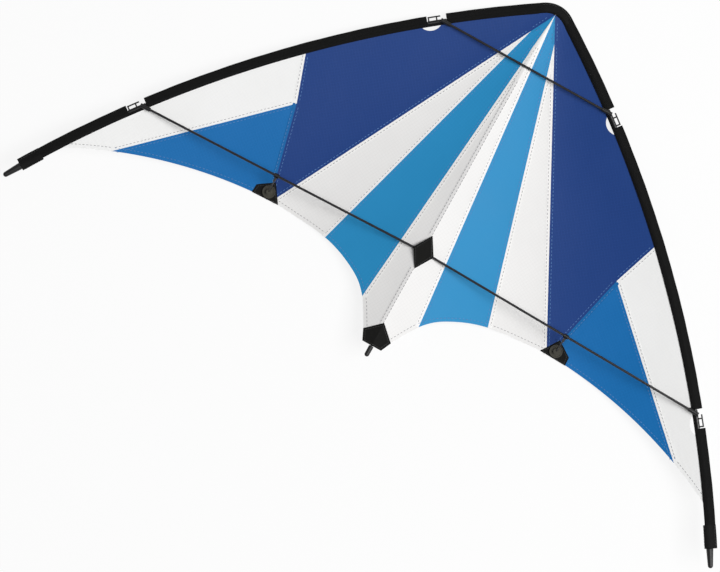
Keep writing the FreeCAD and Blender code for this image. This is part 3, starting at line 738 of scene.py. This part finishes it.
# the panel with the doubled cloth, the panel beside it, and where the stitches start on each of the two
seamPlan = [
    ("centre_panel", "light_stripe", 0.062, 0.030),
    ("white_stripe", "light_stripe", 0.062, 0.008),
    ("white_stripe", "wing_panel", 0.062, 0.004),
    ("light_stripe", "wing_panel", 0.030, 0.012),
    ("tip_panel", "wing_panel", 0.006, 0.004),
    ("tip_panel", "edge_panel", 0.006, 0.012),
    ("edge_panel", "wing_panel", 0.012, 0.004),
]


def leftOf(a, b):
    direction = (b - a).normalized()
    return Vector((-direction.y, direction.x))


def towards(a, b, panel):       # unit vector square to the seam, into the panel
    away = leftOf(a, b)
    middle = sum((p for line in panelLines[panel] for p in line), Vector((0, 0)))
    middle /= sum(len(line) for line in panelLines[panel])
    return away if (middle - a).dot(away) > 0 else -away


def bandGrid(a, b, away):
    steps = max(20, int((b - a).length / 0.004))
    grid = []
    for j in range(4):
        line = []
        for i in range(steps + 1):
            point = mixed(a, b, i / steps)
            room = (point - a).length * seamLook["taper"] if a in (nosePoint, stripeTop) else 1.0
            place = point + away * (min(seamLook["bandWidth"], room) * j / 3)
            line.append(clothFace(place.x, place.y, seamLook["bandLift"]))
        grid.append(line)
    return grid


def hemGrid(part):              # the folded back edge along the trailing edge, behind the sail
    ends = {"centre_panel": (trailingStart, seamCuts[0]), "light_stripe": (seamCuts[0], seamCuts[1]),
            "white_stripe": (seamCuts[1], seamCuts[2]), "wing_panel": (seamCuts[2], innerCut),
            "edge_panel": (innerCut, wingCut), "tip_panel": (wingCut, trailingEnd)}[part]
    line = trailingBetween(*ends)
    line = resampled(line, max(4, int(pathLength(line) / 0.005)))
    grid = []
    for j in range(3):
        row = []
        for k, point in enumerate(line):
            a, b = line[max(k - 1, 0)], line[min(k + 1, len(line) - 1)]
            place = point + leftOf(a, b) * (sail["hemWidth"] * j / 2)
            place.x = max(place.x, 0)
            row.append(clothFace(place.x, place.y, -sail["thickness"] - seamLook["hemGap"]))
        grid.append(row)
    return grid


def addStrips(name, part, grid, look):      # a thin strip of cloth on the same panel of each wing
    for suffix, side in sides:
        strip = makeSheet(name + suffix, grid, side, look, [], seamLook["bandThickness"])[0]
        sheets[part + suffix][5].append(strip)


for (part, other, *_), (a, b) in zip(seamPlan, seamLines):
    grid = bandGrid(a, b, towards(a, b, part))
    addStrips("seam_" + part + "_" + other, part, grid, panelLooks[part][0] + "Double")
for part in panelLines:
    addStrips("hem_" + part, part, hemGrid(part), panelLooks[part][0])

spineSeam = {                   # folded seam along the spine, left of the fold
    "spans": [(nosePoint.y - 0.015, 0.031), (-0.031, -0.143)],
    "across": [(0.0004, 0.0001), (-0.0003, 0.0003), (-0.0020, 0.0004), (-0.0045, 0.00055), (-0.0066, 0.0005),
               (-0.0078, 0.0001)],
    "rows": (-0.0012, -0.0064),
    "rowLift": 0.00045,
    "rowStart": nosePoint.y - 0.130,
}
for number, (top, bottom) in enumerate(spineSeam["spans"]):
    steps = round((top - bottom) / 0.004)
    grid = []
    for j in range(steps + 1):
        y = mixed(top, bottom, j / steps)
        narrow = min(1.0, (nosePoint.y - y) * seamLook["taper"] / seamLook["bandWidth"])
        grid.append([Vector((x * narrow, y, sailHeight(x * narrow, y) + puckered(abs(x * narrow), y) + lift))
                     for x, lift in spineSeam["across"]])
    band = makeSheet("spine_seam_" + str(number + 1), grid, 1, "whiteDouble", [],
                     seamLook["bandThickness"])[0]
    sheets["centre_panel_left"][5].append(band)
print("seams and hems made")


def makeDash():                 # one stitch: a small rounded bar along x, used again for every stitch
    bpy.ops.object.select_all(action="DESELECT")
    bpy.ops.mesh.primitive_cube_add(size=1)
    dash = bpy.context.object
    bpy.ops.object.mode_set(mode="EDIT")
    bpy.ops.mesh.select_all(action="SELECT")
    bpy.ops.transform.resize(value=(seamLook["dashLength"], seamLook["dashWidth"], seamLook["dashHeight"]))
    bpy.ops.mesh.bevel(offset=seamLook["dashRound"], segments=1, affect="EDGES")
    bpy.ops.object.mode_set(mode="OBJECT")
    shape = [v.co.copy() for v in dash.data.vertices], [list(p.vertices) for p in dash.data.polygons]
    bpy.data.objects.remove(dash)
    return shape


dashPoints, dashFaces = makeDash()


def stitchMesh(name, spots, side, look):
    points, faces = [], []
    for centre, along, up in spots:
        across = up.cross(along).normalized()
        base = len(points)
        for p in dashPoints:
            q = centre + along * p.x + across * p.y + up * p.z
            points.append(placed(q.x * side, q.y, q.z))
        order = 1 if side > 0 else -1
        faces += [[base + k for k in face][::order] for face in dashFaces]
    mesh = bpy.data.meshes.new(name)
    mesh.from_pydata(points, [], faces)
    piece = bpy.data.objects.new(name, mesh)
    bpy.context.scene.collection.objects.link(piece)
    finishPiece(piece, look, smooth=50)
    return piece


def spotsAlong(line, heightAt, start=0.004, pitch=None):       # evenly spaced stitches along a plan line
    pitch = pitch or seamLook["pitch"]
    count = int((pathLength(line) - 2 * start) / pitch)
    spots = []
    walked, k = 0.0, 0
    for n in range(max(count, 0) + 1):
        wanted = start + n * pitch
        while k < len(line) - 2 and walked + (line[k + 1] - line[k]).length < wanted:
            walked += (line[k + 1] - line[k]).length
            k += 1
        length = (line[k + 1] - line[k]).length
        here = mixed(line[k], line[k + 1], (wanted - walked) / length)
        step = (line[k + 1] - line[k]).normalized() * 0.001
        middle = heightAt(here)
        along = (heightAt(here + step) - heightAt(here - step)).normalized()
        side = Vector((-step.y, step.x))
        up = along.cross(heightAt(here + side) - heightAt(here - side))
        up = up.normalized() if up.z > 0 else -up.normalized()
        spots.append((middle, along, up))
    return spots


def onCloth(lift):
    return lambda p: Vector((p.x, p.y, sailHeight(max(p.x, 0), p.y) + puckered(max(p.x, 0), p.y) + lift))


threads = {"white": "greyThread", "tip": "greyThread", "light": "blueThread", "medium": "blueThread",
           "dark": "blueThread"}
stitchSpots = {}
for (part, other, begin, otherBegin), (a, b) in zip(seamPlan, seamLines):
    away = towards(a, b, part) * seamLook["rowOffset"]
    along = (b - a).normalized()
    for panel, offset, skip, lift in ((part, away, begin, seamLook["bandLift"]), (other, -away, otherBegin, 0.0)):
        line = [a + along * skip + offset, b + offset]
        stitchSpots.setdefault(panel, []).extend(spotsAlong(line, onCloth(lift + seamLook["clear"])))
for part in panelLines:
    row = hemGrid(part)
    share = seamLook["hemRow"] / sail["hemWidth"]
    inner = [mixed(Vector(p[:2]), Vector(q[:2]), share) for p, q in zip(row[0], row[2])]
    stitchSpots.setdefault(part, []).extend(spotsAlong(inner, onCloth(seamLook["clear"])))


def onSpineSeam(p):
    return Vector((p.x, p.y, sailHeight(p.x, p.y) + puckered(abs(p.x), p.y) + spineSeam["rowLift"]))


spineSpots = []
for x in spineSeam["rows"]:
    for top, bottom in spineSeam["spans"]:
        line = [Vector((x, min(top, spineSeam["rowStart"]))), Vector((x, bottom))]
        spineSpots += spotsAlong(line, onSpineSeam)
spineRows = stitchMesh("stitches_spine_seam", spineSpots, 1, "greyThread")
sheets["centre_panel_left"][5].append(spineRows)
for part, spots in stitchSpots.items():
    for suffix, side in sides:
        look, slotName = panelLooks[part]
        sheets[part + suffix][5].append(stitchMesh("stitches_" + part + suffix, spots, side, threads[look]))
print("stitches made")


# sleeves, nose and tips
sleeve = {
    "wall": 0.0005,
    "noseWall": 0.0008,
    "noseLap": 0.007,
    "tipLap": 0.006,
    "notchBefore": 0.007,
    "notchAfter": 0.027,
    "notchDepth": -0.0028,
    "row": 0.0015 - sleeveInner,        # stitch rows, across from the rod, and how high they lie
    "rowRise": 0.0011,
    "rowPitch": 0.0055,
    "noseRows": (0.0018 - sleeveInner, 0.0095),
    "noseRowRise": 0.0016,
    "tipRows": (-0.0090, 0.0100),
    "tipRowRise": 0.0012,
    "tipBars": (0.0025, 0.006),
    "tipBarEnds": (-0.0085, -0.004),
    "tipBarRise": 0.0022,
    "webbingPitch": 0.0052,
    "profile": [(-0.0062, 0.0008), (-0.0056, 0.0010), (-0.0050, 0.0014), (-0.0041, 0.0023), (-0.0028, 0.0031),
                (-0.0014, 0.0036), (0.0, 0.00375), (0.0014, 0.0036), (0.0030, 0.0030), (0.0048, 0.0022),
                (0.0068, 0.0015), (0.0088, 0.0010), (0.0106, 0.0006), (0.0117, 0.0003)],
}


def sleeveProfile(wider=0.0, thicker=1.0):      # open at the seam, folded at the outer edge
    upper = [(out + (wider if out > 0.009 else 0) - (wider if out < -0.006 else 0), z * thicker)
             for out, z in sleeve["profile"]]
    fold = [(kite["sleeveOuter"] + wider, 0.0)]
    return upper + fold + [(out, -z) for out, z in reversed(upper)]


def stripWidth(profile):        # flat width of a folded strip
    return sum((Vector(q) - Vector(p)).length for p, q in zip(profile, profile[1:]))


def waved(s, out, z):           # slight slack in a sewn sleeve
    wave = math.sin(s * 95 + out * 40) * math.sin(s * 37 + 1.3)
    return out + wave * 0.00018 * (out > 0.008), z * (1 + 0.05 * math.sin(s * 63 + out * 130) * (abs(z) > 0.0007))


def sweepSheet(name, stops, profile, frameAt, side, look, nodes, wall, keep=None):
    columns = len(profile) - 1
    rows = len(stops) - 1
    piece = newGrid(name, columns, rows)

    def where(i, j):
        out, z = waved(stops[j], *profile[i])
        point = frameAt(stops[j], out)
        return placed(point.x * side, point.y, z)
    shapeGrid(piece, columns, rows, where)
    if keep:
        made = bmesh.new()
        made.from_mesh(piece.data)
        made.verts.ensure_lookup_table()
        made.faces.ensure_lookup_table()
        doomed = []
        for face in made.faces:
            corners = [v.index for v in face.verts]
            i = sum(c % (columns + 1) for c in corners) / 4
            j = sum(c // (columns + 1) for c in corners) / 4
            low, high = int(i), int(j)
            if not keep((profile[low][0] + profile[low + 1][0]) / 2, (stops[high] + stops[high + 1]) / 2):
                doomed.append(face)
        bmesh.ops.delete(made, geom=doomed, context="FACES")
        made.to_mesh(piece.data)
        made.free()
    area = sum(polygon.area for polygon in piece.data.polygons)
    if keep:                    # a strip with notches runs one way on each wing
        turned = side < 0
    else:
        upper = [p.normal for p in piece.data.polygons if p.index % columns < len(profile) // 2 - 2]
        turned = sum(upper, Vector()).dot(front) < 0
    if turned:
        piece.data.flip_normals()
    applyModifier(piece, "SOLIDIFY", thickness=wall, offset=-1.0)
    finishPiece(piece, look, nodes, smooth=45)
    return piece, area


def evenStops(start, end, step, marks=()):
    marks = [start] + sorted(m for m in marks if start < m < end) + [end]
    stops = []
    for a, b in zip(marks, marks[1:]):
        count = max(1, round((b - a) / step))
        stops += [a + (b - a) * k / count for k in range(count)]
    return stops + [end]


def atRise(rise):               # places stitches at one height
    return lambda p: Vector((p.x, p.y, rise))


def inNotch(out, s):
    return out > sleeve["notchDepth"] and any(at - sleeve["notchBefore"] < s < at + sleeve["notchAfter"]
                                              for at in (upperAt, lowerAt))


notchMarks = [at + d for at in (upperAt, lowerAt) for d in (-sleeve["notchBefore"], sleeve["notchAfter"])]
sleeveStops = evenStops(sleeveStart, sleeveEnd, 0.003, notchMarks)
for suffix, side in sides:
    piece, area = sweepSheet("leading_edge_sleeve" + suffix + "_cloth", sleeveStops, sleeveProfile(), edgePoint, side,
                             "sleeve", ["leading_edge_sleeve" + suffix], sleeve["wall"],
                             lambda out, s: not inNotch(out, s))
    spots = []
    rowEnds = [sleeveStart + 0.010] + notchMarks + [sleeveEnd - 0.008]
    for a, b in zip(rowEnds[::2], rowEnds[1::2]):
        row = [edgePoint(s, sleeve["row"]) for s in evenStops(a, b, 0.01)]
        spots += spotsAlong(row, atRise(sleeve["rowRise"]), 0.002, sleeve["rowPitch"])
    rows = stitchMesh("stitches_sleeve" + suffix, spots, side, "blackThread")
    flat = stripWidth(sleeveProfile()), sleeveEnd - sleeveStart
    sheets["leading_edge_sleeve" + suffix] = [piece, flat, area, "folded", ["leading_edge_rod_upper" + suffix], [rows]]


def nosePlace(t, out):          # t runs round the nose, from the left sleeve to the right one
    arc = noseSlope * noseAxisRadius
    side = 1 if t >= 0 else -1
    if abs(t) <= arc:
        angle = abs(t) / noseAxisRadius
        point = noseCentre + Vector((math.sin(angle), math.cos(angle))) * (noseAxisRadius + out)
    else:
        point = edgePoint(sleeveStart + abs(t) - arc, out)
    return Vector((point.x * side, point.y))


noseEnd = noseSlope * noseAxisRadius + sleeve["noseLap"]
noseProfile = sleeveProfile(0.0005, 1.22)
piece, area = sweepSheet("nose_webbing_cloth", evenStops(-noseEnd, noseEnd, 0.0022), noseProfile, nosePlace, 1,
                         "webbing", ["nose_webbing"], sleeve["noseWall"])
noseSpots = []
for out in sleeve["noseRows"]:
    row = [nosePlace(t, out) for t in evenStops(0.004, noseEnd - 0.003, 0.003)]
    noseSpots += spotsAlong(row, atRise(sleeve["noseRowRise"]), 0.002, sleeve["webbingPitch"])
noseRows = [stitchMesh("stitches_nose" + suffix, noseSpots, side, "blackThread")
            for suffix, side in sides]
sheets["nose_webbing"] = [piece, (stripWidth(noseProfile), 2 * noseEnd), area, "folded", ["spine_rod"], noseRows]

tipProfile = [(out * (1.09 if out > 0 else 1.45), z * 1.22) for out, z in sleeve["profile"]]
tipProfile = tipProfile + [(kite["sleeveOuter"] + 0.001, 0.0)] + [(out, -z) for out, z in reversed(tipProfile)]
tipStops = evenStops(sleeveEnd - sleeve["tipLap"], edgeLength - kite["tipCapLength"], 0.0022)
for suffix, side in sides:
    piece, area = sweepSheet("tip_webbing" + suffix + "_cloth", tipStops, tipProfile, edgePoint, side, "webbing",
                             ["tip_webbing" + suffix], sleeve["noseWall"])
    spots = []
    for out in sleeve["tipRows"]:
        row = [edgePoint(s, out) for s in evenStops(tipStops[0] + 0.002, tipStops[-1] - 0.002, 0.004)]
        spots += spotsAlong(row, atRise(sleeve["tipRowRise"]), 0.001, sleeve["webbingPitch"])
    for bar in sleeve["tipBars"]:
        row = [edgePoint(tipStops[0] + bar, out) for out in sleeve["tipBarEnds"]]
        spots += spotsAlong(row, atRise(sleeve["tipBarRise"]), 0.001, 0.004)
    rows = stitchMesh("stitches_tip" + suffix, spots, side, "blackThread")
    flat = stripWidth(tipProfile), tipStops[-1] - tipStops[0]
    sheets["tip_webbing" + suffix] = [piece, flat, area, "folded", ["leading_edge_rod_lower" + suffix], [rows]]
print("sleeves made")


# patches and spine pocket
patches = {
    "thickness": 0.0007,
    "stitchInset": 0.00432,
    "tail": [(0, -0.140), (0.0275, -0.1656), (0.0185, -0.185), (-0.0185, -0.185), (-0.0275, -0.1656)],
    "centre": [(0.020, 0), (0, 0.0325), (-0.020, 0), (0, -0.0325)],
    "standoff": [(0.261, -0.0507), (0.283, -0.018), (0.311, -0.037), (0.312, -0.0527)],
    "gridStep": 0.0015,
    "pitch": 0.0045,
    "lift": 0.0009,             # face of a flat patch above the cloth
    "centreEdge": 0.0042,       # height of the centre patch at its edge, and over the cross
    "centreTop": 0.0056,
    "centreSlope": 0.22,
    "pocketHalf": 0.0085,
    "pocketTop": -0.034,
    "pocketEnd": -0.184,
    "pocketBulge": 0.0035,
    "pocketRound": 0.0038,
}


def makePatch(name, outline, heightAt, side, nodes, look):
    corners = [plan(p) for p in outline]
    low = Vector((min(p.x for p in corners), min(p.y for p in corners)))
    high = Vector((max(p.x for p in corners), max(p.y for p in corners)))
    columns = int((high.x - low.x) / patches["gridStep"])
    rows = int((high.y - low.y) / patches["gridStep"])
    piece = newGrid(name, columns, rows)
    shapeGrid(piece, columns, rows, lambda i, j: Vector((mixed(low.x, high.x, i / columns),
                                                         mixed(low.y, high.y, j / rows), 0)))
    centre = sum(corners, Vector((0, 0))) / len(corners)
    made = bmesh.new()
    made.from_mesh(piece.data)
    for a, b in zip(corners, corners[1:] + corners[:1]):
        away = leftOf(a, b)
        if (centre - a).dot(away) > 0:
            away = -away
        everything = made.verts[:] + made.edges[:] + made.faces[:]
        bmesh.ops.bisect_plane(made, geom=everything, dist=1e-7, plane_co=(a.x, a.y, 0),
                               plane_no=(away.x, away.y, 0), clear_outer=True)
    for vertex in made.verts:
        point = heightAt(Vector(vertex.co[:2]))
        vertex.co = placed(point.x * side, point.y, point.z)
    made.to_mesh(piece.data)
    made.free()
    tidyMesh(piece)
    faceUp(piece)
    area = sum(polygon.area for polygon in piece.data.polygons)
    applyModifier(piece, "SOLIDIFY", thickness=patches["thickness"], offset=-1.0)
    finishPiece(piece, look, nodes)
    ring = [mixed(p, centre, patches["stitchInset"] / (p - centre).length) for p in corners]
    spots = []
    for a, b in zip(ring, ring[1:] + ring[:1]):
        spots += spotsAlong([a, b], lambda p: heightAt(p) + Vector((0, 0, seamLook["clear"])), 0.001, patches["pitch"])
    rows = stitchMesh("stitches_" + name, spots, side, "blackThread")
    return piece, (high.x - low.x, high.y - low.y), area, rows


def flatHeight(p):
    return Vector((p.x, p.y, sailHeight(p.x, p.y) + patches["lift"]))


def centreHeight(p):            # domed over the cross joint
    halfX, halfY = patches["centre"][0][0], patches["centre"][1][1]
    edge = 1 - abs(p.x) / halfX - abs(p.y) / halfY
    rise = min(max(edge, 0) / patches["centreSlope"], 1)
    rise = rise * rise * (3 - 2 * rise)
    return Vector((p.x, p.y, mixed(patches["centreEdge"], patches["centreTop"], rise)))


piece, size, area, rows = makePatch("tail_patch_cloth", patches["tail"], flatHeight, 1, ["tail_patch"], "patch")
sheets["tail_patch"] = [piece, size, area, "laid", ["centre_panel_right"], [rows]]
piece, size, area, rows = makePatch("centre_patch_cloth", patches["centre"], centreHeight, 1, ["centre_patch"], "patch")
sheets["centre_patch"] = [piece, size, area, "laid", ["centre_tee"], [rows]]
for suffix, side in sides:
    piece, size, area, rows = makePatch("standoff_patch" + suffix + "_cloth", patches["standoff"], flatHeight, side,
                                        ["standoff_patch" + suffix], "patch")
    sheets["standoff_patch" + suffix] = [piece, size, area, "laid", ["edge_panel" + suffix], [rows]]

pocketGrid = []
for j in range(41):
    y = mixed(patches["pocketTop"], patches["pocketEnd"], j / 40)
    line = []
    for i in range(17):
        x = mixed(-patches["pocketHalf"], patches["pocketHalf"], i / 16)
        flatBack = sailHeight(abs(x), y) - sail["thickness"] - 0.0003
        hump = -patches["pocketBulge"] * math.exp(-(x / patches["pocketRound"]) ** 4)
        line.append(Vector((x, y, min(flatBack, hump))))
    pocketGrid.append(line)
piece, area = makeSheet("spine_pocket_cloth", pocketGrid, 1, "white", ["spine_pocket"],
                        sail["thickness"])
sheets["spine_pocket"] = [piece, (0.019, 0.150), area, "stretched", ["spine_rod"], []]
print("patches made")


# rods and fittings
fittingLooks = {
    "spine_rod": "rod", "leading_edge_rod": "rod", "lower_spreader": "rod", "upper_spreader": "rod",
    "standoff_rod": "rod", "spine_cap": "vinyl", "tip_cap": "vinyl", "centre_tee": "moulding",
    "upper_connector": "moulding", "lower_connector": "moulding", "standoff_boss": "fitting",
    "standoff_washer": "moulding", "standoff_clip": "moulding", "leading_edge_ferrule": "metal",
}
for name, node in frame["nodes"].items():
    for start, look in fittingLooks.items():
        if name.startswith(start):
            node.data.materials.clear()
            node.data.materials.append(looks[look])
print("fittings painted")

for name, (piece, flat, area, held, resting, withPieces) in sheets.items():
    width, length = sorted(flat)
    min(area, width * length * 1.0009)


# floor, light and camera
bpy.ops.mesh.primitive_plane_add(size=30, location=(0, 0, 0))
floor = bpy.context.object
floor.name = "floor"
floorPaint = Paint("pale_floor")
floorPaint.set(Base_Color=colour(250, 250, 250), Roughness=0.9, Specular_IOR_Level=0.0)
rays = floorPaint.tree.nodes.new("ShaderNodeLightPath").outputs
seen = Wire(floorPaint, rays["Is Camera Ray"]) + Wire(floorPaint, rays["Is Glossy Ray"])
seen = (seen + Wire(floorPaint, rays["Is Transmission Ray"])).clipped()
glow = floorPaint.node("ShaderNodeEmission", {}, {"Color": (1, 1, 1, 1), "Strength": 1.0})
both = floorPaint.node("ShaderNodeMixShader", {}, {0: seen * 0.86, 1: Wire(floorPaint, floorPaint.shader.outputs[0]),
                                                   2: glow})
floorPaint.plug(floorPaint.tree.nodes["Material Output"].inputs["Surface"], both)
floor.data.materials.append(floorPaint.material)

studio = {
    "keyPower": 590.0,
    "keySize": 5.0,
    "keyFrom": (0.50, 0.20, 0.85),      # in the kite's frame
    "keyDistance": 8.0,
    "world": 0.205,
    "turn": math.radians(29.05),        # how far the nose leans to the left in the view
    "distance": 6.0,
    "viewWidth": 1.2463,
    "right": -0.1099,
    "up": -0.0585,
}
frontTurn = tilt @ Vector((0, 0, 1))
across = tilt @ Vector((math.cos(studio["turn"]), math.sin(studio["turn"]), 0))
above = tilt @ Vector((-math.sin(studio["turn"]), math.cos(studio["turn"]), 0))
target = crossPoint + across * studio["right"] + above * studio["up"]


def addLamp(name, place, size, power):
    data = bpy.data.lights.new(name, "AREA")
    data.size = size
    data.energy = power
    lamp = bpy.data.objects.new(name, data)
    bpy.context.scene.collection.objects.link(lamp)
    lamp.location = place
    lamp.rotation_euler = (target - place).to_track_quat("-Z", "Y").to_euler()


keyFrom = tilt @ Vector(studio["keyFrom"]).normalized()
addLamp("key", target + keyFrom * studio["keyDistance"], studio["keySize"], studio["keyPower"])

world = bpy.data.worlds.new("studio")
world.use_nodes = True
bpy.context.scene.world = world
world.node_tree.nodes["Background"].inputs["Strength"].default_value = studio["world"]
world.node_tree.nodes["Background"].inputs["Color"].default_value = (1, 1, 1, 1)

cameraData = bpy.data.cameras.new("camera")
camera = bpy.data.objects.new("camera", cameraData)
bpy.context.scene.collection.objects.link(camera)
camera.location = target + frontTurn * studio["distance"]
camera.matrix_world = Matrix.Translation(camera.location) @ Matrix((across, above, frontTurn)).transposed().to_4x4()
cameraData.sensor_width = 36
cameraData.lens = 36 * studio["distance"] / studio["viewWidth"]
bpy.context.scene.camera = camera
bpy.context.scene.view_settings.view_transform = "Standard"
print("floor, light and camera made")
